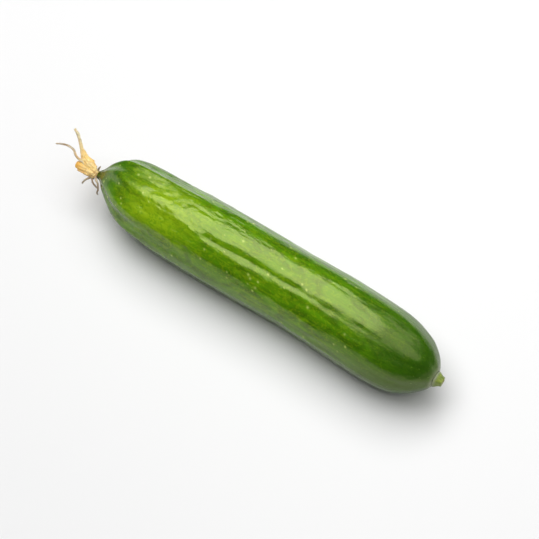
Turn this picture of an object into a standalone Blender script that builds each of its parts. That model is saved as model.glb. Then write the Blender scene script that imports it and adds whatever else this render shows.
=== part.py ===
"""A small smooth-skinned cucumber lying on its belly, with its snapped stalk and its dried flower.

The fruit lies along X with the flower at -X and the stalk at +X. The finished object's origin is
the centre of the underside of its bounding box. Units are metres, +Z is up.
"""

import math

import bmesh
import bpy
from mathutils import Vector

MM = 0.001

# Driving dimensions
FRUIT_LENGTH = 165 * MM
AXIS_HEIGHT = 15.45 * MM  # from the flat of the belly to the fruit's axis
CAP_LENGTH = 33 * MM  # the round stem end
BODY_RADIUS = 16.2 * MM  # where the round stem end begins
CAP_FULLNESS = 3.2  # 2 is an ellipse, more is blunter
CAP_ROUNDING = 0.62  # 0.5 is an ellipse, more is more pointed
STALK_SCAR_RADIUS = 2.4 * MM
TOUCH_GAP = 0.3 * MM  # between pieces that touch
AROUND = 54
ALONG = 42

# (distance from the flower's end, radius), up to where the round stem end begins
BODY_STATIONS = [
    (0 * MM, 1.5 * MM),
    (2 * MM, 3.0 * MM),
    (5 * MM, 6.5 * MM),
    (10 * MM, 10.4 * MM),
    (16.5 * MM, 13.2 * MM),
    (25 * MM, 14.8 * MM),
    (37 * MM, 15.6 * MM),
    (54 * MM, 16.3 * MM),
    (78 * MM, 16.1 * MM),
    (100 * MM, 15.7 * MM),
    (118 * MM, 16.1 * MM),
    (FRUIT_LENGTH - CAP_LENGTH, BODY_RADIUS),
]

# (distance from the flower's end, sideways place of the axis): the fruit bows gently towards +Y
BOW_STATIONS = [
    (0 * MM, 0 * MM),
    (4 * MM, 1.7 * MM),
    (10 * MM, 2.4 * MM),
    (17 * MM, 1.3 * MM),
    (26 * MM, 0.5 * MM),
    (40 * MM, 0.4 * MM),
    (55 * MM, 0.8 * MM),
    (78 * MM, 1.4 * MM),
    (99 * MM, 2.0 * MM),
    (120 * MM, 2.1 * MM),
    (140 * MM, 1.4 * MM),
    (152 * MM, 1.0 * MM),
    (159 * MM, 1.2 * MM),
    (163 * MM, 1.1 * MM),
    (165 * MM, 0.7 * MM),
]

# Soft ribs run the length of the fruit and are deepest at the flower's end
RIB_COUNT = 9
RIB_PHASE = math.radians(63)
RIB_DEPTH_TIP = 0.032
RIB_DEPTH_BODY = 0.004
RIB_DEPTH_STALK = 0.010
RIB_FADE_LENGTH = 34 * MM

# Stalk
STALK_LENGTH = 2.5 * MM
STALK_BASE_RADIUS = 3.3 * MM
STALK_END_RADIUS = 1.9 * MM
STALK_LEAN = 0.7 * MM  # of its end, towards +Y
STALK_SIDES = 20
STALK_SNAP_SLOPE = -0.16

# Dried flower
CUP_LENGTH = 3.6 * MM
CUP_BASE_RADIUS = 1.8 * MM
CUP_RIM_RADIUS = 2.2 * MM
CUP_FLATTENING = 0.75
CUP_DROP = 0.3 * MM  # of its base, towards -Y
CUP_LEAN = 0.5 * MM  # of its rim, further towards -Y
CUP_RISE = 0.3 * MM  # of its rim
CUP_SIDES = 20
CUP_RINGS = 8
PETAL_THICKNESS = 0.4 * MM
PETAL_CELLS_ALONG = 12
PETAL_CELLS_ACROSS = 8
THREAD_BEVEL_RESOLUTION = 2
THREAD_THINNING = 0.45

# Flat petals: how far the flat turns about its own path and how far its edges curl round, in
# degrees, then points on the path, in mm: (out beyond the fruit's tip, towards +Y, up), half width
PETALS = {
    "petal_upright": (
        20,
        150,
        [
            ((5.0, 1.8, 2.0), 1.3),
            ((7.7, 2.5, 3.1), 1.25),
            ((10.5, 3.5, 4.6), 0.85),
            ((13.0, 4.9, 6.5), 0.6),
            ((15.1, 6.4, 8.4), 0.5),
            ((17.5, 7.4, 10.0), 0.45),
        ],
    ),
    "petal_rolled": (
        0,
        230,
        [
            ((4.6, -0.9, 0.8), 1.1),
            ((6.4, -1.2, 1.0), 1.15),
            ((8.4, -1.6, 1.1), 1.1),
            ((10.4, -1.9, 1.0), 1.0),
        ],
    ),
    "petal_lower": (
        -55,
        110,
        [
            ((4.5, -3.3, -0.9), 0.8),
            ((5.9, -3.5, -0.7), 0.75),
            ((7.2, -3.7, -0.5), 0.6),
            ((8.5, -3.8, -0.3), 0.4),
        ],
    ),
}

# Threads: thickness at the base, then points on the path as above
THREADS = {
    "petal_curled": (
        0.42,
        [
            (8.2, -0.1, 2.4),
            (10.0, -0.2, 2.6),
            (12.0, 0.1, 3.2),
            (13.9, 1.3, 4.0),
            (15.8, 1.4, 5.0),
            (17.6, 1.0, 5.5),
            (19.7, 0.3, 5.5),
            (21.9, -0.4, 5.0),
        ],
    ),
    "sepal_outer": (0.4, [(2.4, -3.3, -0.9), (3.2, -4.7, -1.2), (3.8, -5.5, -2.0), (4.3, -6.3, -3.0)]),
    "sepal_under": (0.36, [(1.2, -3.1, -1.4), (-0.3, -4.0, -2.2), (-2.1, -4.5, -3.2)]),
    "sepal_hooked": (
        0.36,
        [
            (-1.2, -3.0, 0.6),
            (-2.2, -3.5, 0.2),
            (-3.3, -4.6, -0.6),
            (-3.9, -5.6, -1.6),
            (-3.9, -6.6, -2.8),
            (-4.5, -6.8, -3.1),
        ],
    ),
    "sepal_top": (0.36, [(0.9, 1.0, 1.8), (0.6, 1.6, 2.3), (0.2, 2.1, 2.8)]),
}


def clear_scene():
    for obj in list(bpy.data.objects):
        bpy.data.objects.remove(obj, do_unlink=True)


def smooth_value(stations, at):
    """The value at a place along stations, on a smooth curve that goes through every station."""
    if at <= stations[0][0]:
        return stations[0][1]
    if at >= stations[-1][0]:
        return stations[-1][1]
    slopes = []
    for i in range(len(stations)):
        before = stations[max(i - 1, 0)]
        after = stations[min(i + 1, len(stations) - 1)]
        slopes.append((after[1] - before[1]) / (after[0] - before[0]))
    for i in range(len(stations) - 1):
        (x0, y0), (x1, y1) = stations[i], stations[i + 1]
        if at <= x1:
            span = x1 - x0
            t = (at - x0) / span
            start = (1 + 2 * t) * (1 - t) ** 2 * y0 + t * (1 - t) ** 2 * span * slopes[i]
            end = t * t * (3 - 2 * t) * y1 + t * t * (t - 1) * span * slopes[i + 1]
            return start + end
    return stations[-1][1]


def fruit_radius(along):
    """Radius of the fruit at a distance from its flower's end, without its ribs."""
    body = FRUIT_LENGTH - CAP_LENGTH
    if along <= body:
        return smooth_value(BODY_STATIONS, along)
    t = (along - body) / CAP_LENGTH
    round_end = max(0.0, 1 - t**CAP_FULLNESS) ** CAP_ROUNDING
    return STALK_SCAR_RADIUS * t**8 + (BODY_RADIUS - STALK_SCAR_RADIUS * t**8) * round_end


def rib_depth(along):
    """Depth of the ribs as a share of the radius."""
    at_tip = RIB_DEPTH_TIP * math.exp(-((along / RIB_FADE_LENGTH) ** 2))
    at_stalk = RIB_DEPTH_STALK * math.exp(-(((FRUIT_LENGTH - along) / RIB_FADE_LENGTH) ** 2))
    return RIB_DEPTH_BODY + at_tip + at_stalk


def make_material(name, colour, roughness, metallic=0.0):
    material = bpy.data.materials.new(name)
    material.use_nodes = True
    shader = material.node_tree.nodes["Principled BSDF"]
    shader.inputs["Base Color"].default_value = (*colour, 1)
    shader.inputs["Roughness"].default_value = roughness
    shader.inputs["Metallic"].default_value = metallic
    material.diffuse_color = (*colour, 1)
    return material


def add_object(name, data, material, collection, frame):
    data.materials.append(material)
    obj = bpy.data.objects.new(name, data)
    collection.objects.link(obj)
    obj.parent = frame
    return obj


def mesh_from(bm, name):
    """The mesh of a bmesh, with its faces turned outwards."""
    bm.normal_update()
    bmesh.ops.recalc_face_normals(bm, faces=bm.faces)
    mesh = bpy.data.meshes.new(name)
    bm.to_mesh(mesh)
    bm.free()
    mesh.shade_smooth()
    return mesh


def fruit_mesh():
    """A UV sphere whose rings are moved along the fruit's axis, with the belly flattened to z = 0."""
    bm = bmesh.new()
    bmesh.ops.create_uvsphere(bm, u_segments=AROUND, v_segments=ALONG, radius=1)
    for vert in bm.verts:
        along = (1 + vert.co.z) / 2 * FRUIT_LENGTH
        around = math.atan2(vert.co.y, vert.co.x)
        on_pole = math.hypot(vert.co.x, vert.co.y) < 1e-6
        rib = 1 + rib_depth(along) * math.cos(RIB_COUNT * (around - RIB_PHASE))
        radius = 0 if on_pole else fruit_radius(along) * rib
        sideways = smooth_value(BOW_STATIONS, along) + radius * math.cos(around)
        height = AXIS_HEIGHT + radius * math.sin(around)
        vert.co = (along - FRUIT_LENGTH / 2, sideways, max(0.0, height))
    return mesh_from(bm, "fruit")


def stem_stub_mesh():
    """A short cone on the fruit's stem end, snapped off at a slant."""
    bm = bmesh.new()
    bmesh.ops.create_cone(
        bm,
        cap_ends=True,
        segments=STALK_SIDES,
        radius1=STALK_BASE_RADIUS,
        radius2=STALK_END_RADIUS,
        depth=STALK_LENGTH,
    )
    base_x = FRUIT_LENGTH / 2 + TOUCH_GAP
    for vert in bm.verts:
        across, up, out = vert.co
        if out > 0:
            out += STALK_SNAP_SLOPE * across
            across += STALK_LEAN
        sideways = BOW_STATIONS[-1][1] + across
        vert.co = (base_x + STALK_LENGTH / 2 + out, sideways, AXIS_HEIGHT + up)
    return mesh_from(bm, "stem_stub")


def tip_point(out, sideways, up):
    """A point given from the fruit's tip: out beyond it, towards +Y, up."""
    return Vector((-FRUIT_LENGTH / 2 - out, sideways, AXIS_HEIGHT + up))


def blossom_cup_mesh():
    """The dried tube of the flower: a flattened flaring solid from the tip out to its rim."""
    bm = bmesh.new()
    bmesh.ops.create_uvsphere(bm, u_segments=CUP_SIDES, v_segments=CUP_RINGS, radius=1)
    for vert in bm.verts:
        share = (1 + vert.co.z) / 2
        around = math.atan2(vert.co.y, vert.co.x)
        on_pole = math.hypot(vert.co.x, vert.co.y) < 1e-6
        radius = CUP_BASE_RADIUS + (CUP_RIM_RADIUS - CUP_BASE_RADIUS) * share
        radius = 0 if on_pole else radius
        vert.co = tip_point(
            TOUCH_GAP + CUP_LENGTH * share,
            radius * math.cos(around) - CUP_DROP - CUP_LEAN * share,
            CUP_FLATTENING * radius * math.sin(around) + CUP_RISE * share,
        )
    return mesh_from(bm, "blossom_cup")


def petal_mesh(name):
    """A strip swept along its path and curled across it, left open for a Solidify modifier."""
    turn, curl, path = PETALS[name]
    turn = math.radians(turn)
    half_curl = math.radians(curl) / 2
    last = len(path) - 1
    points = [tip_point(*(value * MM for value in place)) for place, _ in path]
    forward = (points[-1] - points[0]).normalized()
    side = forward.cross(Vector((0, 0, 1))).normalized()
    lift = side.cross(forward)
    across = side * math.cos(turn) + lift * math.sin(turn)
    above = lift * math.cos(turn) - side * math.sin(turn)
    bm = bmesh.new()
    bmesh.ops.create_grid(bm, x_segments=PETAL_CELLS_ALONG, y_segments=PETAL_CELLS_ACROSS, size=1)
    for vert in bm.verts:
        place = (vert.co.x + 1) / 2 * last
        coordinates = [[(i, point[axis]) for i, point in enumerate(points)] for axis in range(3)]
        centre = Vector([smooth_value(stations, place) for stations in coordinates])
        half_width = smooth_value([(i, half) for i, (_, half) in enumerate(path)], place) * MM
        angle = vert.co.y * half_curl
        bend = half_width / math.sin(min(half_curl, math.pi / 2))
        vert.co = centre + across * bend * math.sin(angle) + above * bend * (math.cos(angle) - 0.5)
    return mesh_from(bm, name)


def thread_curve(name):
    """A round thread that thins towards its end."""
    thickness, places = THREADS[name]
    curve = bpy.data.curves.new(name, "CURVE")
    curve.dimensions = "3D"
    curve.bevel_depth = thickness * MM
    curve.bevel_resolution = THREAD_BEVEL_RESOLUTION
    curve.use_fill_caps = True
    spline = curve.splines.new("POLY")
    spline.points.add(len(places) - 1)
    for i, (point, place) in enumerate(zip(spline.points, places)):
        point.co = (*tip_point(*(value * MM for value in place)), 1)
        point.radius = 1 - THREAD_THINNING * i / (len(places) - 1)
    return curve


def centre_on_floor(frame):
    """Moves the empty that holds every piece, so that the box's underside is centred on the origin."""
    bpy.context.view_layer.update()
    graph = bpy.context.evaluated_depsgraph_get()
    corners = []
    for obj in frame.children:
        evaluated = obj.evaluated_get(graph)
        mesh = evaluated.to_mesh()
        corners += [evaluated.matrix_world @ vert.co for vert in mesh.vertices]
        evaluated.to_mesh_clear()
    low = [min(corner[i] for corner in corners) for i in range(3)]
    high = [max(corner[i] for corner in corners) for i in range(3)]
    frame.location = (-(low[0] + high[0]) / 2, -(low[1] + high[1]) / 2, -low[2])
    bpy.context.view_layer.update()


def main():
    clear_scene()
    parts = bpy.data.collections.new("cucumber")
    bpy.context.scene.collection.children.link(parts)
    frame = bpy.data.objects.new("cucumber_frame", None)
    parts.objects.link(frame)

    skin = make_material("skin", (0.07, 0.20, 0.012), 0.28)
    stalk = make_material("stalk", (0.26, 0.34, 0.05), 0.5)
    add_object("fruit", fruit_mesh(), skin, parts, frame)
    add_object("stem_stub", stem_stub_mesh(), stalk, parts, frame)

    cup = make_material("dried_cup", (0.62, 0.42, 0.12), 0.7)
    add_object("blossom_cup", blossom_cup_mesh(), cup, parts, frame)
    for name in PETALS:
        petal = make_material(f"dried_{name}", (0.72, 0.48, 0.16), 0.7)
        obj = add_object(name, petal_mesh(name), petal, parts, frame)
        shell = obj.modifiers.new("thickness", "SOLIDIFY")
        shell.thickness = PETAL_THICKNESS
        shell.offset = 0
    for name in THREADS:
        thread = make_material(f"dried_{name}", (0.38, 0.28, 0.16), 0.8)
        add_object(name, thread_curve(name), thread, parts, frame)
    centre_on_floor(frame)


main()
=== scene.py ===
"""The looks of a small smooth-skinned cucumber with its dried flower and its snapped stalk.

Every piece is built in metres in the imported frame: +X runs along the fruit from the flower to the
stalk, +Y is the side it bows to, and +Z is up.
"""

import logging
import math
from dataclasses import dataclass, field
from enum import Enum
from typing import Sequence

import bpy
import numpy as np
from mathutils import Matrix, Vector

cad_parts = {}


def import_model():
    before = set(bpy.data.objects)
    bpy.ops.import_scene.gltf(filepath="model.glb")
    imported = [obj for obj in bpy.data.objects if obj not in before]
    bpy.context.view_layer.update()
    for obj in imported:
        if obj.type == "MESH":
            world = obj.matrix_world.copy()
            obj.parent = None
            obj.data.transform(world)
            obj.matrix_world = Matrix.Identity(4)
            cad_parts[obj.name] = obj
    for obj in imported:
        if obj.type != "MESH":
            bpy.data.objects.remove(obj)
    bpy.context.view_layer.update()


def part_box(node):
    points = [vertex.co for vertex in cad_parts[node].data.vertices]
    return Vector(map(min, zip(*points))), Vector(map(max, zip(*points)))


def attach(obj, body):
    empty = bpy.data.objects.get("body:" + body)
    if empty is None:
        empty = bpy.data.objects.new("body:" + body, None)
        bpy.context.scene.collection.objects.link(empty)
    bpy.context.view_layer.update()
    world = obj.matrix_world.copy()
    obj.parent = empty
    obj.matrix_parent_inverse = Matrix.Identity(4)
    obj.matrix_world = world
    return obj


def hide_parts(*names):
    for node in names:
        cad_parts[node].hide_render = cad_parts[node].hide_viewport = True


MM = 0.001
LOG = logging.getLogger("cucumber")

Colour = tuple[float, float, float]
Stations = Sequence[tuple[float, float]]


# ---------------------------------------------------------------------------------------------
# Numbers: smooth curves and seeded noise
# ---------------------------------------------------------------------------------------------


def smooth_curve(stations: Stations, at: np.ndarray) -> np.ndarray:
    """Reads a smooth curve that passes through every station.

    Args:
        stations: (place, value) pairs in rising order of place.
        at: the places to read.

    Returns:
        The curve's value at each place.
    """
    x, y = np.array(stations, float).T
    slopes = np.gradient(y, x) if len(x) > 2 else np.full(2, (y[1] - y[0]) / (x[1] - x[0]))
    slopes[1:-1] = (y[2:] - y[:-2]) / (x[2:] - x[:-2])
    at = np.clip(at, x[0], x[-1])
    i = np.clip(np.searchsorted(x, at) - 1, 0, len(x) - 2)
    span = x[i + 1] - x[i]
    t = (at - x[i]) / span
    start = (1 + 2 * t) * (1 - t) ** 2 * y[i] + t * (1 - t) ** 2 * span * slopes[i]
    end = t * t * (3 - 2 * t) * y[i + 1] + t * t * (t - 1) * span * slopes[i + 1]
    return start + end


def rise(at: np.ndarray, low: float, high: float) -> np.ndarray:
    """A smooth step from 0 at low to 1 at high."""
    t = np.clip((at - low) / (high - low), 0, 1)
    return t * t * (3 - 2 * t)


@dataclass
class Grain:
    """Seeded smooth noise in space, about -1 to 1."""

    seed: int
    cells: int = 32
    table: np.ndarray = field(init=False, repr=False)

    def __post_init__(self) -> None:
        """Draws the values at the lattice's corners."""
        self.table = np.random.default_rng(self.seed).uniform(-1, 1, (self.cells,) * 3)

    def at(self, points: np.ndarray, size: Sequence[float]) -> np.ndarray:
        """Reads the noise.

        Args:
            points: places, with three numbers in the last axis.
            size: the length of one cell along each axis, in the same unit.

        Returns:
            One value for each place.
        """
        scaled = points / np.array(size)
        cell = np.floor(scaled).astype(int)
        t = scaled - cell
        t = t * t * t * (t * (t * 6 - 15) + 10)
        total = np.zeros(points.shape[:-1])
        for corner in np.ndindex(2, 2, 2):
            i, j, k = (np.mod(cell[..., axis] + corner[axis], self.cells) for axis in range(3))
            share = np.ones_like(total)
            for axis in range(3):
                share = share * (t[..., axis] if corner[axis] else 1 - t[..., axis])
            total += share * self.table[i, j, k]
        return total * 1.6

    def layered(self, points: np.ndarray, size: Sequence[float], layers: int = 3) -> np.ndarray:
        """Adds layers of the noise, each half the size and half the height of the last.

        Args:
            points: places, with three numbers in the last axis.
            size: the first layer's cell along each axis.
            layers: how many layers are added.

        Returns:
            One value for each place.
        """
        total = np.zeros(points.shape[:-1])
        for layer in range(layers):
            shift = 7.3 * layer
            total += self.at(points + shift * np.array(size), np.array(size) / 2**layer) / 2**layer
        return total / (2 - 0.5 ** (layers - 1))


# ---------------------------------------------------------------------------------------------
# Meshes
# ---------------------------------------------------------------------------------------------


class Ends(Enum):
    """How a swept surface ends."""

    OPEN = "open"
    CLOSED = "closed"


@dataclass
class Surface:
    """A grid of points swept along a piece, and the numbers that its finish reads from them."""

    points: np.ndarray  # rows along the piece, columns across or around it, xyz
    tube: bool  # the last column joins the first
    ends: Ends = Ends.OPEN
    fields: dict[str, np.ndarray] = field(default_factory=dict)
    uv_name: str = "OFBake"

    def make(self, name: str) -> bpy.types.Object:
        """Makes the mesh object.

        Args:
            name: the object's name.

        Returns:
            The new object, linked to the scene and shaded smooth.
        """
        rows, columns, _ = self.points.shape
        verts = self.points.reshape(-1, 3)
        values = {key: value.reshape(-1) for key, value in self.fields.items()}
        i, j = np.meshgrid(np.arange(rows - 1), np.arange(columns - (not self.tube)), indexing="ij")
        i, j = i.ravel(), j.ravel()
        j_next = (j + 1) % columns
        here, ahead = i * columns, (i + 1) * columns
        quads = np.stack([here + j, ahead + j, ahead + j_next, here + j_next], 1)
        corners = np.stack([[i, j], [i + 1, j], [i + 1, j + 1], [i, j + 1]]).transpose(2, 0, 1)
        spans = np.array([rows - 1, columns - (not self.tube)])
        uvs = corners / spans
        faces = quads.tolist()
        uv_rows = [uvs.reshape(-1, 2)]
        if self.ends is Ends.CLOSED:
            for row, flip in ((0, False), (rows - 1, True)):
                middle = len(verts)
                ring = row * columns + np.arange(columns)
                verts = np.vstack([verts, verts[ring].mean(0)])
                values = {key: np.append(value, value[ring].mean()) for key, value in values.items()}
                for k in range(columns):
                    a, b = ring[k], ring[(k + 1) % columns]
                    faces.append([b, a, middle] if flip else [a, b, middle])
                    steps = (1, 0, 0.5) if flip else (0, 1, 0.5)
                    uv_rows.append(np.array([(row / (rows - 1), (k + step) / columns) for step in steps]))
        mesh = bpy.data.meshes.new(name)
        mesh.from_pydata(verts.tolist(), [], faces)
        layer = mesh.uv_layers.new(name=self.uv_name)
        layer.data.foreach_set("uv", np.concatenate(uv_rows).astype(np.float32).ravel())
        for key, value in values.items():
            mesh.attributes.new(key, "FLOAT", "POINT").data.foreach_set("value", value.astype(np.float32))
        if self.ends is Ends.CLOSED:
            mesh.flip_normals()  # a closed sweep is wound facing in, so it is turned to face out
        mesh.shade_smooth()
        mesh.validate()
        obj = bpy.data.objects.new(name, mesh)
        bpy.context.scene.collection.objects.link(obj)
        return obj


# ---------------------------------------------------------------------------------------------
# Finishes
# ---------------------------------------------------------------------------------------------


class Board:
    """A material's nodes, added and wired in short calls."""

    def __init__(self, name: str) -> None:
        """Starts a material that holds one Principled shader."""
        self.material = bpy.data.materials.new(name)
        self.material.use_nodes = True
        self.nodes = self.material.node_tree.nodes
        self.links = self.material.node_tree.links
        self.shader = self.nodes["Principled BSDF"]

    def fix(self, **values: object) -> None:
        """Sets the shader's own sockets, named with _ for each space."""
        for key, value in values.items():
            self.shader.inputs[key.replace("_", " ")].default_value = value

    def wire(self, source: bpy.types.NodeSocket, target: bpy.types.NodeSocket) -> None:
        """Links two sockets."""
        self.links.new(source, target)

    def reading(self, name: str) -> bpy.types.NodeSocket:
        """The value of a mesh's own number."""
        node = self.nodes.new("ShaderNodeAttribute")
        node.attribute_name = name
        return node.outputs["Fac"]

    def place(self, stretch: Sequence[float]) -> bpy.types.NodeSocket:
        """Object coordinates in metres, multiplied along each axis."""
        coordinates = self.nodes.new("ShaderNodeTexCoord")
        mapping = self.nodes.new("ShaderNodeMapping")
        mapping.inputs["Scale"].default_value = stretch
        self.wire(coordinates.outputs["Object"], mapping.inputs["Vector"])
        return mapping.outputs["Vector"]

    def noise(
        self, stretch: Sequence[float], detail: float = 3.0, twist: float = 0.0
    ) -> bpy.types.NodeSocket:
        """Noise, with its cells per metre along each axis.

        Args:
            stretch: cells per metre along X, Y and Z.
            detail: layers of finer noise.
            twist: distortion.

        Returns:
            The noise's value, about 0 to 1.
        """
        node = self.nodes.new("ShaderNodeTexNoise")
        node.inputs["Scale"].default_value = 1.0
        node.inputs["Detail"].default_value = detail
        node.inputs["Distortion"].default_value = twist
        self.wire(self.place(stretch), node.inputs["Vector"])
        return node.outputs["Fac"]

    def ramp(self, source: bpy.types.NodeSocket, stops: Stations) -> bpy.types.NodeSocket:
        """Maps a value through stops of (place, grey)."""
        node = self.nodes.new("ShaderNodeValToRGB")
        elements = node.color_ramp.elements
        while len(elements) < len(stops):
            elements.new(0.5)
        for element, (place, grey) in zip(elements, stops):
            element.position = place
            element.color = (grey, grey, grey, 1)
        self.wire(source, node.inputs["Fac"])
        return node.outputs["Color"]

    def maths(self, operation: str, *sources: object) -> bpy.types.NodeSocket:
        """A Math node on sockets or numbers.

        Args:
            operation: the Math node's operation, such as MULTIPLY.
            sources: sockets or numbers, in order.

        Returns:
            The node's value.
        """
        node = self.nodes.new("ShaderNodeMath")
        node.operation = operation
        for slot, source in zip(node.inputs, sources):
            if isinstance(source, bpy.types.NodeSocket):
                self.wire(source, slot)
            else:
                slot.default_value = source
        return node.outputs["Value"]

    def blend(self, factor: object, first: object, second: object) -> bpy.types.NodeSocket:
        """Mixes two colours.

        Args:
            factor: a socket or a number; 0 gives the first colour.
            first: a socket or a colour.
            second: a socket or a colour.

        Returns:
            The mixed colour.
        """
        node = self.nodes.new("ShaderNodeMix")
        node.data_type = "RGBA"
        slots = [node.inputs["Factor"], node.inputs[6], node.inputs[7]]
        for slot, source in zip(slots, (factor, first, second)):
            if isinstance(source, bpy.types.NodeSocket):
                self.wire(source, slot)
            elif isinstance(source, tuple):
                slot.default_value = (*source, 1)
            else:
                slot.default_value = source
        return node.outputs[2]

    def bump(self, height: bpy.types.NodeSocket, distance: float, strength: float = 1.0) -> None:
        """Adds a bump to the shader, on top of any that it has.

        Args:
            height: the height, 0 to 1.
            distance: the height of 1, in metres.
            strength: how much of it shows.
        """
        node = self.nodes.new("ShaderNodeBump")
        node.inputs["Distance"].default_value = distance
        node.inputs["Strength"].default_value = strength
        self.wire(height, node.inputs["Height"])
        slot = self.shader.inputs["Normal"]
        if slot.is_linked:
            self.wire(slot.links[0].from_socket, node.inputs["Normal"])
        self.wire(node.outputs["Normal"], slot)


@dataclass(frozen=True)
class WaxySkin:
    """The fruit's skin: glossy wax over green, with pale streaks, specks and a yellower blossom end, paler
    along the top as painted light, darker on its sides and underside as painted shade, and a pale grey ring
    by the stalk as a painted highlight.
    """

    deep: Colour = (0.019, 0.074, 0.001)
    grass: Colour = (0.078, 0.232, 0.002)
    # pale yellow-green: the real colour of the flower's end and of the pale streaks, and painted light
    # along the top
    yellow_end_and_painted_top_light: Colour = (0.250, 0.400, 0.006)
    speck: Colour = (0.560, 0.660, 0.160)
    tip: Colour = (0.060, 0.070, 0.005)
    # painted highlight: the pale grey ring where the skin meets the stalk
    painted_highlight_ring: Colour = (0.170, 0.200, 0.110)
    gloss: float = 0.13

    def material(self) -> bpy.types.Material:
        """Builds the material."""
        board = Board("waxy_skin")
        mottle = board.noise((90, 190, 190), detail=5, twist=1.2)
        streaks = board.noise((22, 700, 700), detail=4)
        grain = board.noise((900, 1500, 1500), detail=2)
        dimples = board.noise((460, 650, 650), detail=3, twist=1.5)
        # 1 where the skin is not darkened, neither towards its ends nor by the painted shade on its sides
        # and underside
        fresh = board.maths("SUBTRACT", 1.0, board.reading("end_darkening_and_painted_shade"))
        green = board.blend(board.ramp(mottle, ((0.36, 0), (0.62, 1))), self.deep, self.grass)
        # darker towards both ends, and darker on the sides and underside as painted shade
        green = board.blend(board.reading("end_darkening_and_painted_shade"), green, self.deep)
        clouds = board.ramp(mottle, ((0.32, 0.55), (0.60, 1)))
        # yellower towards the flower's end, and paler along the top as painted light
        colour = board.blend(board.maths("MULTIPLY", board.reading("yellow_end_and_painted_top_light"), clouds), green, self.yellow_end_and_painted_top_light)
        pale_lines = board.ramp(streaks, ((0.54, 0), (0.68, 1)))
        pale_share = board.maths("MULTIPLY", fresh, 0.34)
        colour = board.blend(board.maths("MULTIPLY", pale_lines, pale_share), colour, self.yellow_end_and_painted_top_light)
        dark_lines = board.ramp(streaks, ((0.32, 1), (0.50, 0)))
        dark_share = board.maths("MULTIPLY_ADD", board.reading("yellow_end_and_painted_top_light"), -0.25, 0.42)
        colour = board.blend(board.maths("MULTIPLY", dark_lines, dark_share), colour, self.deep)
        pale_dimples = board.ramp(dimples, ((0.50, 0), (0.64, 1)))
        pale_share = board.maths("MULTIPLY", fresh, 0.40)
        colour = board.blend(board.maths("MULTIPLY", pale_dimples, pale_share), colour, self.yellow_end_and_painted_top_light)
        green_dimples = board.ramp(dimples, ((0.36, 1), (0.50, 0)))
        green_share = board.maths("MULTIPLY", fresh, 0.60)
        colour = board.blend(board.maths("MULTIPLY", green_dimples, green_share), colour, self.grass)
        colour = board.blend(board.reading("tip"), colour, self.tip)
        # a pale grey ring by the stalk, as painted highlight
        colour = board.blend(board.reading("painted_highlight_ring"), colour, self.painted_highlight_ring)
        colour = board.blend(board.reading("speck"), colour, self.speck)
        board.wire(colour, board.shader.inputs["Base Color"])
        hazy = board.maths("MULTIPLY_ADD", board.reading("haze"), 0.13, self.gloss - 0.04)
        board.wire(board.maths("MULTIPLY_ADD", streaks, 0.08, hazy), board.shader.inputs["Roughness"])
        board.fix(IOR=1.5, Specular_IOR_Level=0.8, Specular_Tint=(0.93, 1.0, 0.42, 1))
        board.fix(Subsurface_Weight=0.12, Subsurface_Radius=(0.6, 1.0, 0.2), Subsurface_Scale=1.5 * MM)
        board.bump(streaks, 0.07 * MM, 0.6)
        board.bump(dimples, 0.09 * MM, 0.6)
        board.bump(grain, 0.02 * MM, 0.7)
        return board.material


@dataclass(frozen=True)
class StalkTissue:
    """The stalk: fresh yellow-green fibre, with a pale grey painted highlight by the fruit, and browner
    where it snapped.
    """

    fresh: Colour = (0.260, 0.330, 0.045)
    shaded: Colour = (0.100, 0.160, 0.018)
    # painted highlight: pale grey where the stalk meets the fruit
    painted_highlight_ring: Colour = (0.300, 0.330, 0.210)
    snapped: Colour = (0.330, 0.300, 0.080)

    def material(self) -> bpy.types.Material:
        """Builds the material."""
        board = Board("stalk_tissue")
        fibres = board.noise((120, 1600, 1600), detail=3)
        mottle = board.noise((400, 400, 400), detail=3)
        colour = board.blend(board.ramp(fibres, ((0.35, 0), (0.65, 1))), self.shaded, self.fresh)
        colour = board.blend(board.maths("MULTIPLY", mottle, 0.5), colour, self.fresh)
        # pale grey at the base, by the fruit, as painted highlight
        colour = board.blend(board.reading("painted_highlight_ring"), colour, self.painted_highlight_ring)
        colour = board.blend(board.reading("snap"), colour, self.snapped)
        board.wire(colour, board.shader.inputs["Base Color"])
        board.wire(board.maths("MULTIPLY_ADD", fibres, 0.25, 0.35), board.shader.inputs["Roughness"])
        board.fix(Subsurface_Weight=0.15, Subsurface_Radius=(1.0, 0.8, 0.2), Subsurface_Scale=1.0 * MM)
        board.bump(fibres, 0.12 * MM, 0.8)
        return board.material


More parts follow.
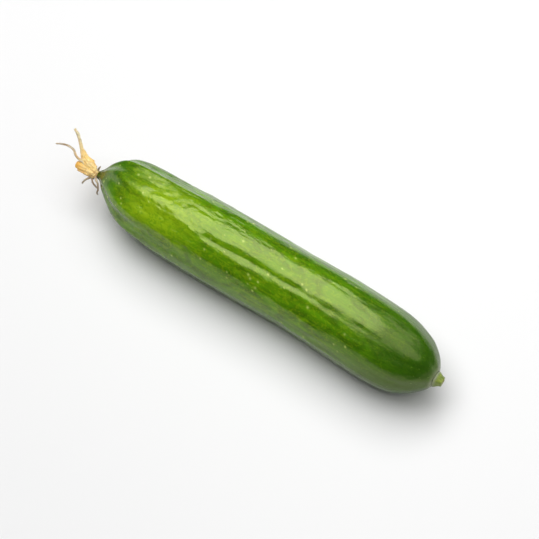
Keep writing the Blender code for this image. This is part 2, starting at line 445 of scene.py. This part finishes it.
@dataclass(frozen=True)
class DriedPetal:
    """Dry papery tissue: straw to orange, darker in random patches and, on the cup, in its pleats' hollows
    as painted shade, and brown along its edges.
    """

    name: str
    end: Colour
    straw: Colour = (0.92, 0.70, 0.33)
    rust: Colour = (0.88, 0.56, 0.17)
    brown: Colour = (0.36, 0.19, 0.04)
    glow: float = 0.3

    def material(self) -> bpy.types.Material:
        """Builds the material."""
        board = Board(self.name)
        blotch = board.noise((500, 500, 500), detail=3)
        veins = board.noise((260, 2600, 2600), detail=3)
        colour = board.blend(board.ramp(blotch, ((0.38, 0), (0.64, 1))), self.straw, self.rust)
        brown_veins = board.maths("MULTIPLY", board.ramp(veins, ((0.5, 0), (0.7, 1))), 0.45)
        colour = board.blend(brown_veins, colour, self.brown)
        colour = board.blend(board.reading("far"), colour, self.end)
        # brown at the base, the end, the edges and in random patches; on the cup also painted shade in its
        # pleats' hollows
        colour = board.blend(board.reading("browning_and_painted_shade"), colour, self.brown)
        board.wire(colour, board.shader.inputs["Base Color"])
        board.wire(board.maths("MULTIPLY_ADD", veins, 0.3, 0.55), board.shader.inputs["Roughness"])
        board.fix(Subsurface_Weight=self.glow, Subsurface_Radius=(1.0, 0.6, 0.25))
        board.fix(Subsurface_Scale=0.6 * MM)
        board.bump(veins, 0.08 * MM, 0.9)
        return board.material


# ---------------------------------------------------------------------------------------------
# The fruit
# ---------------------------------------------------------------------------------------------


@dataclass(frozen=True)
class Furrow:
    """A shallow lengthwise crease in the skin."""

    angle: float  # degrees round the axis, from +Y up
    start: float  # share of the fruit's length
    end: float
    depth: float
    width: float
    wander: float = 2.0  # degrees


@dataclass
class Fruit:
    """The cucumber itself, one grown piece, as a skin mesh around the frame's solid."""

    node: str = "fruit"
    around: int = 288
    along: int = 320
    cap_length: float = 33 * MM
    cap_fullness: float = 3.2
    cap_rounding: float = 0.62
    cap_radius: float = 16.2 * MM
    scar_radius: float = 2.4 * MM
    axis_height: float = 15.45 * MM
    rib_count: int = 9
    rib_phase: float = 63.0  # degrees
    rib_fade: float = 34 * MM
    rib_depths: tuple[float, float, float] = (0.046, 0.005, 0.010)  # flower's end, body, stalk's end
    radii: Stations = (
        (0 * MM, 1.5 * MM),
        (2 * MM, 3.0 * MM),
        (5 * MM, 6.5 * MM),
        (10 * MM, 10.4 * MM),
        (16.5 * MM, 13.2 * MM),
        (25 * MM, 14.8 * MM),
        (37 * MM, 15.6 * MM),
        (54 * MM, 16.3 * MM),
        (78 * MM, 16.1 * MM),
        (100 * MM, 15.7 * MM),
        (118 * MM, 16.1 * MM),
        (132 * MM, 16.2 * MM),
    )
    bow: Stations = (
        (0 * MM, 0 * MM),
        (4 * MM, 1.7 * MM),
        (10 * MM, 2.4 * MM),
        (17 * MM, 1.3 * MM),
        (26 * MM, 0.5 * MM),
        (40 * MM, 0.4 * MM),
        (55 * MM, 0.8 * MM),
        (78 * MM, 1.4 * MM),
        (99 * MM, 2.0 * MM),
        (120 * MM, 2.1 * MM),
        (140 * MM, 1.4 * MM),
        (152 * MM, 1.0 * MM),
        (159 * MM, 1.2 * MM),
        (163 * MM, 1.1 * MM),
        (165 * MM, 0.7 * MM),
    )
    furrows: tuple[Furrow, ...] = (
        Furrow(angle=113.6, start=0.33, end=0.86, depth=0.38 * MM, width=1.7 * MM, wander=0.7),
        Furrow(angle=107, start=0.38, end=0.52, depth=0.10 * MM, width=1.0 * MM),
        Furrow(angle=64, start=-0.04, end=0.34, depth=-0.34 * MM, width=1.2 * MM),
        Furrow(angle=51, start=-0.04, end=0.30, depth=0.30 * MM, width=1.3 * MM),
        Furrow(angle=153, start=-0.04, end=0.22, depth=-0.30 * MM, width=1.3 * MM),
        Furrow(angle=138, start=-0.04, end=0.24, depth=0.22 * MM, width=1.6 * MM),
        Furrow(angle=160, start=0.25, end=0.80, depth=0.05 * MM, width=1.4 * MM),
        Furrow(angle=172, start=0.55, end=0.92, depth=0.06 * MM, width=1.0 * MM),
    )
    pores: tuple[tuple[float, float], ...] = (  # share of the length, degrees round the axis
        (0.503, 131),
        (0.512, 134),
        (0.530, 143),
        (0.455, 152),
        (0.670, 128),
        (0.118, 82),
        (0.150, 76),
        (0.430, 52),
        (0.700, 58),
    )
    speck_seed: int = 11
    speck_count: int = 110
    speck_size: float = 0.33 * MM
    speck_height: float = 0.05 * MM
    swell_depth: float = 0.16 * MM
    dent_depth: float = 0.080 * MM
    crease_depth: float = 0.065 * MM
    pimple_depth: float = 0.020 * MM
    # points to the top side, facing the lights: the painted light is centred here and the painted shade
    # lies away from it
    painted_light_angle: float = 107.0  # degrees round the axis, where the skin is palest

    def __post_init__(self) -> None:
        """Reads the fruit's place from the frame."""
        self.low, self.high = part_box(self.node)
        self.length = self.high.x - self.low.x
        every = np.linspace(0, self.length, 400)
        low_side = (self.sideways(every) - self.radius(every)).min()
        high_side = (self.sideways(every) + self.radius(every)).max()
        self.side_shift = (self.low.y + self.high.y - low_side - high_side) / 2

    def radius(self, at: np.ndarray) -> np.ndarray:
        """Radius at a distance from the flower's end, without ribs."""
        body = self.length - self.cap_length
        t = np.clip((at - body) / self.cap_length, 0, 1)
        scar = self.scar_radius * t**8
        round_end = np.maximum(0, 1 - t**self.cap_fullness) ** self.cap_rounding
        cap = scar + (self.cap_radius - scar) * round_end
        return np.where(at > body, cap, smooth_curve(self.radii, at))

    def sideways(self, at: np.ndarray) -> np.ndarray:
        """Place of the axis along Y, before it is moved to the frame's."""
        return smooth_curve(self.bow, at)

    def rib_depth(self, at: np.ndarray) -> np.ndarray:
        """Depth of the ribs as a share of the radius."""
        tip, body, stalk = self.rib_depths
        near_tip = tip * np.exp(-((at / self.rib_fade) ** 2))
        near_stalk = stalk * np.exp(-(((self.length - at) / self.rib_fade) ** 2))
        return body + near_tip + near_stalk

    def furrow_depth(self, at: np.ndarray, angle: np.ndarray, radius: np.ndarray) -> np.ndarray:
        """Sums the furrows' depths.

        Args:
            at: distance from the flower's end.
            angle: angle round the axis, in radians.
            radius: the fruit's radius there.

        Returns:
            How far the skin dips.
        """
        total = np.zeros_like(at)
        for number, furrow in enumerate(self.furrows):
            share = at / self.length
            line = np.stack([at, np.full_like(at, number * 9.1), np.zeros_like(at)], -1)
            wobble = Grain(40 + number).layered(line, (14 * MM, 1, 1), 2)
            centre = math.radians(furrow.angle) + math.radians(furrow.wander) * wobble
            arc = (np.mod(angle - centre + math.pi, 2 * math.pi) - math.pi) * radius
            fade = rise(share, furrow.start, furrow.start + 0.06)
            fade = fade * (1 - rise(share, furrow.end - 0.08, furrow.end))
            vary = 1.0 + 0.22 * Grain(60 + number).at(line, (9 * MM, 1, 1))
            total += furrow.depth * np.clip(vary, 0.1, 1.3) * fade * np.exp(-((arc / furrow.width) ** 2))
        return total

    def specks(self, points: np.ndarray) -> np.ndarray:
        """Marks small pale pores on the skin.

        Args:
            points: the skin's points, rows along and columns around.

        Returns:
            0 to 1 for each point.
        """
        draw = np.random.default_rng(self.speck_seed)
        rows, columns, _ = points.shape
        near = 8  # how many points away a speck reaches
        marks = np.zeros((rows, columns))
        shares = (points[:, 0, 0] - self.low.x) / self.length
        places = [(share, math.radians(angle) / math.tau, 1.4) for share, angle in self.pores]
        for _ in range(self.speck_count):
            places.append((draw.uniform(0.01, 0.85), draw.uniform(0, 1), draw.uniform(0.7, 1.3)))
        for share, turn, scale in places:
            row = int(np.searchsorted(shares, share))
            column = int(turn * columns)
            size = scale * self.speck_size
            rows_near = slice(max(row - near, 0), row + near + 1)
            columns_near = np.arange(column - near, column + near + 1) % columns
            patch = points[rows_near][:, columns_near]
            distance = np.linalg.norm(patch - points[row, column], axis=-1)
            mark = np.exp(-((distance / size) ** 2)) * draw.uniform(0.4, 1.0)
            marks[rows_near, columns_near] = np.maximum(marks[rows_near, columns_near], mark)
        return marks

    def surface(self) -> Surface:
        """Works out every point of the skin.

        Returns:
            The closed surface with the numbers that the finish reads.
        """
        t = np.arange(1, self.along) / self.along
        share = 0.62 * (1 - np.cos(np.pi * t)) / 2 + 0.38 * t
        angles = 2 * np.pi * np.arange(self.around) / self.around
        at, angle = np.meshgrid(share * self.length, angles, indexing="ij")
        radius = self.radius(at)
        ribs = self.rib_depth(at) * np.cos(self.rib_count * (angle - math.radians(self.rib_phase)))
        radius = radius * (1 + ribs)
        place = np.stack([at, radius * np.cos(angle), radius * np.sin(angle)], -1)
        body = rise(at, 4 * MM, 25 * MM)
        radius = radius + self.swell_depth * body * Grain(1).layered(place, (30 * MM, 9 * MM, 9 * MM), 2)
        radius = radius + self.dent_depth * body * Grain(2).layered(place, (13 * MM, 2.6 * MM, 2.6 * MM), 2)
        puckers = 0.045 + 0.055 * rise(-at, -80 * MM, -30 * MM) - 0.03 * rise(at, 100 * MM, 140 * MM)
        radius = radius + puckers * MM * body * Grain(3).layered(place, (3.6 * MM, 1.9 * MM, 1.9 * MM), 2)
        lively = 0.3 + 0.7 * rise(at, 18 * MM, 32 * MM) * rise(-at, -84 * MM, -58 * MM)
        lively = lively * (1 - 0.6 * rise(at, 100 * MM, 140 * MM))
        creases = np.exp(-((Grain(5).layered(place, (7 * MM, 3.4 * MM, 3.4 * MM), 2) / 0.11) ** 2))
        radius = radius - self.crease_depth * body * lively * creases
        pimples = Grain(4).at(place, (1.7 * MM, 1.2 * MM, 1.2 * MM))
        radius = radius + self.pimple_depth * body * lively * pimples
        radius = radius - self.furrow_depth(at, angle, radius)
        points = self.stand(at, radius, angle)
        speck = self.specks(points)
        points = self.stand(at, radius + self.speck_height * speck, angle)
        share = at / self.length
        top = np.cos(angle - math.radians(self.painted_light_angle))
        # the flower's end is yellower, but only on the top, and the top of the middle is paler: the top's
        # paleness is painted light
        yellow_end_and_painted_top_light = rise(share, 0.06, 0.19) * (1 - rise(share, 0.22, 0.40)) * rise(top, 0.58, 0.97)
        yellow_end_and_painted_top_light += 0.22 * rise(top, 0.6, 1.0) * rise(share, 0.2, 0.4) * (1 - rise(share, 0.6, 0.95))
        # darker towards the stalk's end, and darker on the sides and underside as painted shade
        end_darkening_and_painted_shade = 0.08 + 0.85 * rise(share, 0.64, 1.0) + 0.4 * rise(-top, -0.85, 0.1)
        end_darkening_and_painted_shade += 0.45 * (1 - rise(share, 0.03, 0.14))
        fields = {
            "yellow_end_and_painted_top_light": np.clip(yellow_end_and_painted_top_light, 0, 1),
            "end_darkening_and_painted_shade": np.clip(end_darkening_and_painted_shade, 0, 1),
            "haze": rise(share, 0.62, 0.95) + 0.8 * (1 - rise(share, 0.14, 0.36)),
            "tip": 0.95 * (1 - rise(at, 1.5 * MM, 8 * MM)),
            # a pale grey ring by the stalk, as painted highlight
            "painted_highlight_ring": 0.8 * rise(at, self.length - 1.6 * MM, self.length),
            "speck": speck,
        }
        return Surface(points, tube=True, ends=Ends.CLOSED, fields=fields)

    def stand(self, at: np.ndarray, radius: np.ndarray, angle: np.ndarray) -> np.ndarray:
        """Puts skin points in the frame, flattened where the belly rests.

        Args:
            at: distance from the flower's end.
            radius: distance from the axis.
            angle: angle round the axis, in radians.

        Returns:
            The points, in the frame.
        """
        sideways = self.sideways(at) + self.side_shift + radius * np.cos(angle)
        height = self.axis_height + radius * np.sin(angle)
        return np.stack([self.low.x + at, sideways, np.maximum(height, 0)], -1)

    def build(self) -> bpy.types.Object:
        """Makes and dresses the fruit."""
        obj = self.surface().make("fruit_skin")
        obj.data.materials.append(WaxySkin().material())
        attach(obj, "root")
        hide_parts(self.node)
        return obj


# ---------------------------------------------------------------------------------------------
# The stalk
# ---------------------------------------------------------------------------------------------


@dataclass
class StalkStub:
    """The short end of the stalk, snapped off at a slant."""

    node: str = "stem_stub"
    around: int = 72
    rings: int = 26
    angles: int = 5
    side_share: float = 0.72  # share of the rings on its side; the others cross the break
    taper: Stations = ((0, 1.0), (0.15, 1.0), (0.4, 0.84), (0.7, 0.68), (1.0, 0.58))

    def build(self) -> bpy.types.Object:
        """Makes and dresses the stub."""
        low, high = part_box(self.node)
        length = high.x - low.x
        reach = 0.5 * MM  # back to the fruit
        base_radius = (high.z - low.z) / 2
        middle_y, middle_z = (low.y + high.y) / 2, (low.z + high.z) / 2
        share, angle = np.meshgrid(
            np.linspace(0, 1, self.rings),
            2 * np.pi * np.arange(self.around) / self.around,
            indexing="ij",
        )
        side = np.clip(share / self.side_share, 0, 1)
        inwards = np.clip((share - self.side_share) / (1 - self.side_share), 0, 0.97)
        radius = smooth_curve(self.taper, side) * base_radius
        radius = radius * (1 + 0.05 * np.cos(self.angles * angle + 0.6) * side) * (1 - inwards)
        out = -reach + (length + reach) * side * 0.93
        out = out - 0.16 * radius * np.cos(angle) * side + 0.25 * MM * np.sin(math.pi * inwards)
        across = middle_y + 0.7 * MM * side + radius * np.cos(angle)
        points = np.stack([low.x + out, across, middle_z + radius * np.sin(angle)], -1)
        rough = Grain(21).layered(points, (0.7 * MM, 0.6 * MM, 0.6 * MM), 3)
        points[..., 0] += 0.22 * MM * rough * rise(share, 0.55, 0.8)
        swell = 0.10 * MM * Grain(22).layered(points, (2.5 * MM, 0.7 * MM, 0.7 * MM), 2) * (1 - inwards)
        points[..., 1] += swell * np.cos(angle)
        points[..., 2] += swell * np.sin(angle)
        points[..., 0] = np.minimum(points[..., 0], high.x)
        # a pale grey ring at the base as painted highlight; browner across the break
        fields = {"painted_highlight_ring": 0.9 * (1 - rise(share, 0.05, 0.3)), "snap": 0.8 * rise(share, 0.70, 0.85)}
        obj = Surface(points, tube=True, ends=Ends.CLOSED, fields=fields).make("stalk_stub")
        obj.data.materials.append(StalkTissue().material())
        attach(obj, "root")
        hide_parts(self.node)
        return obj


# ---------------------------------------------------------------------------------------------
# The dried flower
# ---------------------------------------------------------------------------------------------

Point = tuple[float, float, float]


@dataclass
class Tissue:
    """A strip of dried petal or sepal, swept along its path, curled across it and crumpled."""

    node: str
    finish: DriedPetal
    path: tuple[Point, ...]  # mm: out beyond the fruit's tip, towards +Y, up
    half_widths: tuple[float, ...]  # mm, one for each point
    turn: float = 0.0  # degrees: of the flat about the path
    twist: float = 0.0  # degrees: more turn at the far end
    curl: tuple[float, float] = (120.0, 200.0)  # degrees across, at the base and at the end
    crumple: float = 0.12  # mm
    veins: int = 5
    thickness: float = 0.14  # mm
    browning_and_painted_shade: tuple[float, float, float] = (0.1, 0.2, 0.5)  # brown at base, at end and at the edges
    seed: int = 1
    cells: tuple[int, int] = (96, 40)
    slot: str = "dried_petal"

    def surface(self, tip: Vector) -> Surface:
        """Works out the strip's points.

        Args:
            tip: the fruit's tip, where the path is measured from.

        Returns:
            The open surface with the numbers that the finish reads.
        """
        rows, columns = self.cells
        knots = np.arange(len(self.path), dtype=float)
        place = np.linspace(0, knots[-1], rows)
        axes = np.array(self.path) * MM * np.array([-1, 1, 1]) + np.array(tip)
        centre = np.stack([smooth_curve(tuple(zip(knots, axes[:, k])), place) for k in range(3)], -1)
        width = smooth_curve(tuple(zip(knots, self.half_widths)), place) * MM
        forward = np.gradient(centre, axis=0)
        forward /= np.linalg.norm(forward, axis=1, keepdims=True)
        side = np.cross(forward, [0, 0, 1])
        side /= np.linalg.norm(side, axis=1, keepdims=True)
        lift = np.cross(side, forward)
        share = place / knots[-1]
        turn = np.radians(self.turn + self.twist * share)[:, None]
        across = side * np.cos(turn) + lift * np.sin(turn)
        above = lift * np.cos(turn) - side * np.sin(turn)
        w = np.linspace(-1, 1, columns)[None, :]
        along = share[:, None]
        half_curl = np.radians(self.curl[0] + (self.curl[1] - self.curl[0]) * along) / 2
        span = width[:, None] / np.sin(np.minimum(half_curl, math.pi / 2))
        grid = np.stack([along * 8 + 0 * w, w * 1.5 + 0 * along, 0 * w * along], -1)
        ragged = 1 + 0.22 * Grain(self.seed).layered(grid, (0.8, 3.0, 1.0), 2) * np.abs(w) ** 2
        angle = w * half_curl * ragged
        loose = 1 + 0.35 * np.abs(w) * np.sin(half_curl / 2)  # a roll's edge lies outside itself
        vein = 0.10 * MM * np.cos(self.veins * math.pi * w) * (1 - 0.5 * np.abs(w))
        vein = vein * np.minimum(1, width[:, None] / MM)
        reach = span * loose + vein
        points = (
            centre[:, None, :]
            + across[:, None, :] * (span * loose * np.sin(angle))[..., None]
            + above[:, None, :] * (reach * np.cos(angle) - span * 0.5)[..., None]
        )
        size = 1.1 * MM
        for axis in range(3):
            push = Grain(self.seed * 7 + axis).layered(points, (size, size, size), 3)
            points[..., axis] += self.crumple * MM * push * np.minimum(1, 0.25 + along * 3)
        base, end, edge = self.browning_and_painted_shade
        fold = Grain(self.seed + 90).layered(points, (1.4 * MM, 0.7 * MM, 0.7 * MM), 2)
        browning_and_painted_shade = base * (1 - along) + end * along + edge * np.abs(w) ** 6 + 0.25 * fold
        far = rise(along, 0.35, 0.85) * (0.85 + 0.15 * fold)
        fields = {"browning_and_painted_shade": np.clip(browning_and_painted_shade, 0, 1), "far": np.clip(far, 0, 1)}
        return Surface(points, tube=False, fields=fields)

    def build(self, tip: Vector) -> bpy.types.Object:
        """Makes and dresses the strip.

        Args:
            tip: the fruit's tip.

        Returns:
            The strip, with its thickness.
        """
        obj = self.surface(tip).make(f"dried_{self.node}")
        shell = obj.modifiers.new("thickness", "SOLIDIFY")
        shell.thickness = self.thickness * MM
        shell.offset = 0
        obj.data.materials.append(self.finish.material())
        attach(obj, "root")
        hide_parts(self.node)
        return obj


def thread(node: str, finish: DriedPetal, path: tuple[Point, ...], thick: float, seed: int) -> Tissue:
    """A petal or sepal dried to a thread: a narrow strip rolled right round.

    Args:
        node: the frame's node that it stands for.
        finish: its looks.
        path: its points, in mm.
        thick: half its width at the base, in mm.
        seed: for its noise.

    Returns:
        The strip.
    """
    widths = tuple(thick * (1 - 0.5 * i / (len(path) - 1)) for i in range(len(path)))
    return Tissue(
        node,
        finish,
        path,
        widths,
        twist=240,
        curl=(250, 330),
        crumple=0.07,
        veins=2,
        thickness=0.1,
        browning_and_painted_shade=(0.15, 0.15, 0.25),
        seed=seed,
        cells=(72, 20),
        slot="dried_thread",
    )


SEPAL = DriedPetal(
    "dried_sepal",
    end=(0.40, 0.33, 0.23),
    straw=(0.52, 0.43, 0.30),
    rust=(0.38, 0.29, 0.18),
    brown=(0.16, 0.11, 0.06),
)


@dataclass
class Blossom:
    """The dried flower: a cup on the fruit's tip, four petals and four thread-like sepals."""

    cup_node: str = "blossom_cup"
    cup_cells: tuple[int, int] = (60, 120)
    cup_thickness: float = 0.16 * MM
    cup_flare: Stations = ((0, 1.2), (0.12, 1.75), (0.4, 2.0), (0.8, 2.25), (1.0, 2.2))  # mm
    petals: tuple[Tissue, ...] = (
        Tissue(
            "petal_upright",
            DriedPetal("dried_upright", end=(0.66, 0.60, 0.42)),
            (
                (2.4, 0.1, 0.6),
                (5.4, 0.6, 1.6),
                (8.5, 1.7, 3.0),
                (10.9, 3.2, 4.6),
                (13.0, 4.9, 6.5),
                (15.1, 6.4, 8.4),
                (17.5, 7.4, 10.0),
            ),
            (1.7, 2.2, 1.5, 0.9, 0.6, 0.5, 0.42),
            turn=20,
            twist=50,
            curl=(110, 240),
            browning_and_painted_shade=(0.0, 0.05, 0.25),
            seed=3,
        ),
        Tissue(
            "petal_rolled",
            DriedPetal("dried_rolled", end=(0.80, 0.44, 0.07)),
            ((2.2, -0.6, 0.6), (4.6, -0.9, 0.8), (6.4, -1.2, 1.0), (8.4, -1.6, 1.1), (10.4, -1.9, 1.0)),
            (1.8, 2.0, 1.8, 1.5, 1.15),
            turn=0,
            twist=30,
            curl=(150, 330),
            browning_and_painted_shade=(0.05, 0.1, 0.3),
            seed=4,
        ),
        Tissue(
            "petal_lower",
            DriedPetal("dried_lower", end=(0.72, 0.50, 0.22)),
            ((1.8, -1.6, -0.6), (4.0, -2.4, -0.7), (5.6, -2.7, -0.5), (7.2, -3.0, -0.3), (8.6, -3.2, -0.1)),
            (1.4, 1.5, 1.3, 0.95, 0.5),
            turn=-40,
            twist=-30,
            curl=(90, 200),
            browning_and_painted_shade=(0.1, 0.35, 0.45),
            seed=5,
        ),
    )
    threads: tuple[Tissue, ...] = (
        thread(
            "petal_curled",
            DriedPetal(
                "dried_curled",
                end=(0.62, 0.56, 0.46),
                straw=(0.74, 0.62, 0.42),
                rust=(0.62, 0.46, 0.26),
            ),
            (
                (6.6, -0.3, 1.9),
                (8.2, -0.1, 2.4),
                (10.0, -0.2, 2.6),
                (12.0, 0.1, 3.2),
                (13.9, 1.3, 4.0),
                (15.8, 1.4, 5.0),
                (17.6, 1.0, 5.5),
                (19.7, 0.3, 5.5),
                (21.7, -0.4, 5.0),
            ),
            0.5,
            6,
        ),
        thread(
            "sepal_outer",
            SEPAL,
            (
                (1.8, -2.2, -0.7),
                (2.4, -3.3, -0.9),
                (3.2, -4.7, -1.2),
                (3.8, -5.5, -2.0),
                (4.3, -6.2, -2.9),
            ),
            0.42,
            7,
        ),
        thread(
            "sepal_under",
            SEPAL,
            (
                (1.4, -1.9, -1.0),
                (1.0, -3.1, -1.4),
                (-0.3, -4.0, -2.2),
                (-2.1, -4.5, -3.2),
            ),
            0.4,
            8,
        ),
        thread(
            "sepal_hooked",
            SEPAL,
            (
                (0.3, -1.7, 0.4),
                (-1.2, -3.0, 0.6),
                (-2.2, -3.5, 0.2),
                (-3.3, -4.6, -0.6),
                (-3.9, -5.6, -1.6),
                (-3.9, -6.6, -2.8),
                (-4.5, -6.8, -3.1),
            ),
            0.38,
            9,
        ),
        thread(
            "sepal_top",
            SEPAL,
            (
                (1.2, 0.5, 1.0),
                (0.9, 1.0, 1.8),
                (0.6, 1.6, 2.3),
                (0.2, 2.1, 2.8),
            ),
            0.38,
            10,
        ),
    )

    def cup_surface(self, tip: Vector) -> Surface:
        """Works out the cup: a puckered tube from the fruit's tip to a torn rim.

        Args:
            tip: the fruit's tip.

        Returns:
            The open tube with the numbers that the finish reads.
        """
        low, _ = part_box(self.cup_node)
        rows, columns = self.cup_cells
        turns = 2 * np.pi * np.arange(columns) / columns
        along, angle = np.meshgrid(np.linspace(0, 1, rows), turns, indexing="ij")
        rim = np.stack([0 * along, 2 * np.cos(angle), 2 * np.sin(angle)], -1)
        torn = 1 - 0.22 * rise(along, 0.5, 1.0) * (0.5 + 0.5 * Grain(31).at(rim, (1, 0.6, 0.6)))
        out = (tip.x - low.x) * along * torn
        radius = smooth_curve(self.cup_flare, along) * MM
        pleats = 0.13 * np.cos(5 * angle + 0.7) + 0.07 * np.cos(11 * angle + 2 * along)
        pit = np.exp(-(((along - 0.30) / 0.13) ** 2) - ((angle - 1.75) / 0.38) ** 2)
        radius = radius * (1 - 0.22 * pit)
        radius = radius * (1 + pleats * rise(along, 0.05, 0.6))
        points = np.stack(
            [
                tip.x - out,
                tip.y - 0.3 * MM - 0.5 * MM * along + radius * np.cos(angle),
                tip.z + 0.3 * MM * along + 0.78 * radius * np.sin(angle),
            ],
            -1,
        )
        for axis in range(3):
            push = Grain(33 + axis).layered(points, (1.2 * MM, 0.8 * MM, 0.8 * MM), 3)
            points[..., axis] += 0.16 * MM * push * rise(along, 0.05, 0.3)
        fold = Grain(37).layered(points, (1.2 * MM, 0.6 * MM, 0.6 * MM), 2)
        # darker near the fruit, in random patches and in the pit, and darker in the pleats' hollows as
        # painted shade
        browning_and_painted_shade = 0.55 * (1 - rise(along, 0.0, 0.2)) + 0.3 * fold + 0.25 * rise(-pleats, 0.0, 0.15) + pit
        fields = {"browning_and_painted_shade": np.clip(browning_and_painted_shade, 0, 1), "far": 0.6 * along}
        return Surface(points, tube=True, fields=fields)

    def build(self, tip: Vector) -> list[bpy.types.Object]:
        """Makes and dresses the whole flower.

        Args:
            tip: the fruit's tip.

        Returns:
            Its pieces.
        """
        cup = self.cup_surface(tip).make("dried_blossom_cup")
        shell = cup.modifiers.new("thickness", "SOLIDIFY")
        shell.thickness = self.cup_thickness
        shell.offset = 0
        cup.data.materials.append(DriedPetal("dried_cup", end=(0.88, 0.62, 0.24)).material())
        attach(cup, "root")
        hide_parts(self.cup_node)
        return [cup] + [piece.build(tip) for piece in self.petals + self.threads]


# ---------------------------------------------------------------------------------------------
# The studio
# ---------------------------------------------------------------------------------------------


@dataclass(frozen=True)
class Panel:
    """A soft oval light that hangs level over the floor, in metres."""

    name: str
    left: float
    right: float
    front: float
    back: float
    brightness: float
    height: float = 1.0


@dataclass
class Studio:
    """A pale floor, three soft lights overhead and a camera that looks down on the fruit."""

    elevation: float = 60.0
    swing: float = 35.262  # degrees from the fruit's length to the picture's width
    distance: float = 601.75 * MM
    aim: Point = (11.37 * MM, 2.57 * MM, 15.0 * MM)
    lens: float = 100.0
    floor_side: float = 6.0
    floor_reach: float = 1.0
    floor_grey: float = 0.80
    backdrop_grey: float = 0.93
    fill_grey: float = 0.04
    panels: tuple[Panel, ...] = (
        Panel("key_panel", -0.70, -0.10, -0.50, 0.96, 4.0),
        Panel("middle_panel", -0.84, 0.25, -0.54, 1.00, 1.35),
        Panel("wide_panel", -1.10, 1.35, -0.60, 1.08, 1.5),
    )

    def floor(self) -> None:
        """Lays the floor, which glows evenly far out so that it has no dark horizon."""
        bpy.ops.mesh.primitive_grid_add(x_subdivisions=8, y_subdivisions=8, size=self.floor_side)
        floor = bpy.context.active_object
        floor.name = "studio_floor"
        board = Board("studio_floor")
        paper = board.noise((3, 3, 3), detail=2)
        light, dark = self.floor_grey, self.floor_grey * 0.985
        near = board.nodes.new("ShaderNodeTexGradient")
        near.gradient_type = "SPHERICAL"
        board.wire(board.place((1 / self.floor_reach,) * 3), near.inputs["Vector"])
        far = board.ramp(near.outputs["Fac"], ((0.0, 1), (0.65, 0)))
        plain = board.blend(paper, (light,) * 3, (dark,) * 3)
        board.wire(board.blend(far, plain, (0.0, 0.0, 0.0)), board.shader.inputs["Base Color"])
        board.wire(far, board.shader.inputs["Emission Strength"])
        board.fix(Roughness=0.9, Specular_IOR_Level=0.0, Emission_Color=(*(self.backdrop_grey,) * 3, 1))
        floor.data.materials.append(board.material)

    def light(self, panel: Panel) -> None:
        """Hangs one soft oval light that faces straight down."""
        width, depth = panel.right - panel.left, panel.back - panel.front
        data = bpy.data.lights.new(panel.name, "AREA")
        data.shape = "ELLIPSE"
        data.size, data.size_y = width, depth
        area = width * depth * (math.pi / 4)
        data.energy = panel.brightness * math.pi * area
        lamp = bpy.data.objects.new(panel.name, data)
        bpy.context.scene.collection.objects.link(lamp)
        lamp.location = ((panel.left + panel.right) / 2, (panel.front + panel.back) / 2, panel.height)

    def world(self) -> None:
        """Sets a pale surround that fills the shadows only a little."""
        world = bpy.data.worlds.new("studio_world")
        bpy.context.scene.world = world
        world.use_nodes = True
        nodes, links = world.node_tree.nodes, world.node_tree.links
        background = nodes["Background"]
        path = nodes.new("ShaderNodeLightPath")
        mix = nodes.new("ShaderNodeMix")
        mix.data_type = "RGBA"
        mix.inputs[6].default_value = (*(self.fill_grey,) * 3, 1)
        mix.inputs[7].default_value = (*(self.backdrop_grey,) * 3, 1)
        links.new(path.outputs["Is Camera Ray"], mix.inputs["Factor"])
        links.new(mix.outputs[2], background.inputs["Color"])

    def camera(self) -> None:
        """Places the camera."""
        swing, elevation = math.radians(self.swing), math.radians(self.elevation)
        ahead = Vector((-math.sin(swing), math.cos(swing), 0)) * math.cos(elevation)
        ahead.z = -math.sin(elevation)
        data = bpy.data.cameras.new("camera")
        data.lens = self.lens
        data.sensor_width = 36.0
        data.clip_start = 0.01
        camera = bpy.data.objects.new("camera", data)
        bpy.context.scene.collection.objects.link(camera)
        camera.location = Vector(self.aim) - ahead * self.distance
        camera.rotation_euler = ahead.to_track_quat("-Z", "Y").to_euler()
        bpy.context.scene.camera = camera

    def build(self) -> None:
        """Sets up the floor, the lights, the surround and the camera."""
        bpy.context.scene.view_settings.view_transform = "Standard"
        self.floor()
        for panel in self.panels:
            self.light(panel)
        self.world()
        self.camera()


def main() -> None:
    """Builds the cucumber piece by piece, then the studio."""
    logging.basicConfig(level=logging.INFO, format="%(message)s")
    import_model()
    fruit = Fruit()
    LOG.info("fruit: %s", fruit.build().name)
    LOG.info("stalk: %s", StalkStub().build().name)
    tip = Vector((fruit.low.x, fruit.side_shift, fruit.axis_height))
    for piece in Blossom().build(tip):
        LOG.info("flower: %s", piece.name)
    Studio().build()


if __name__ == "__main__":
    main()
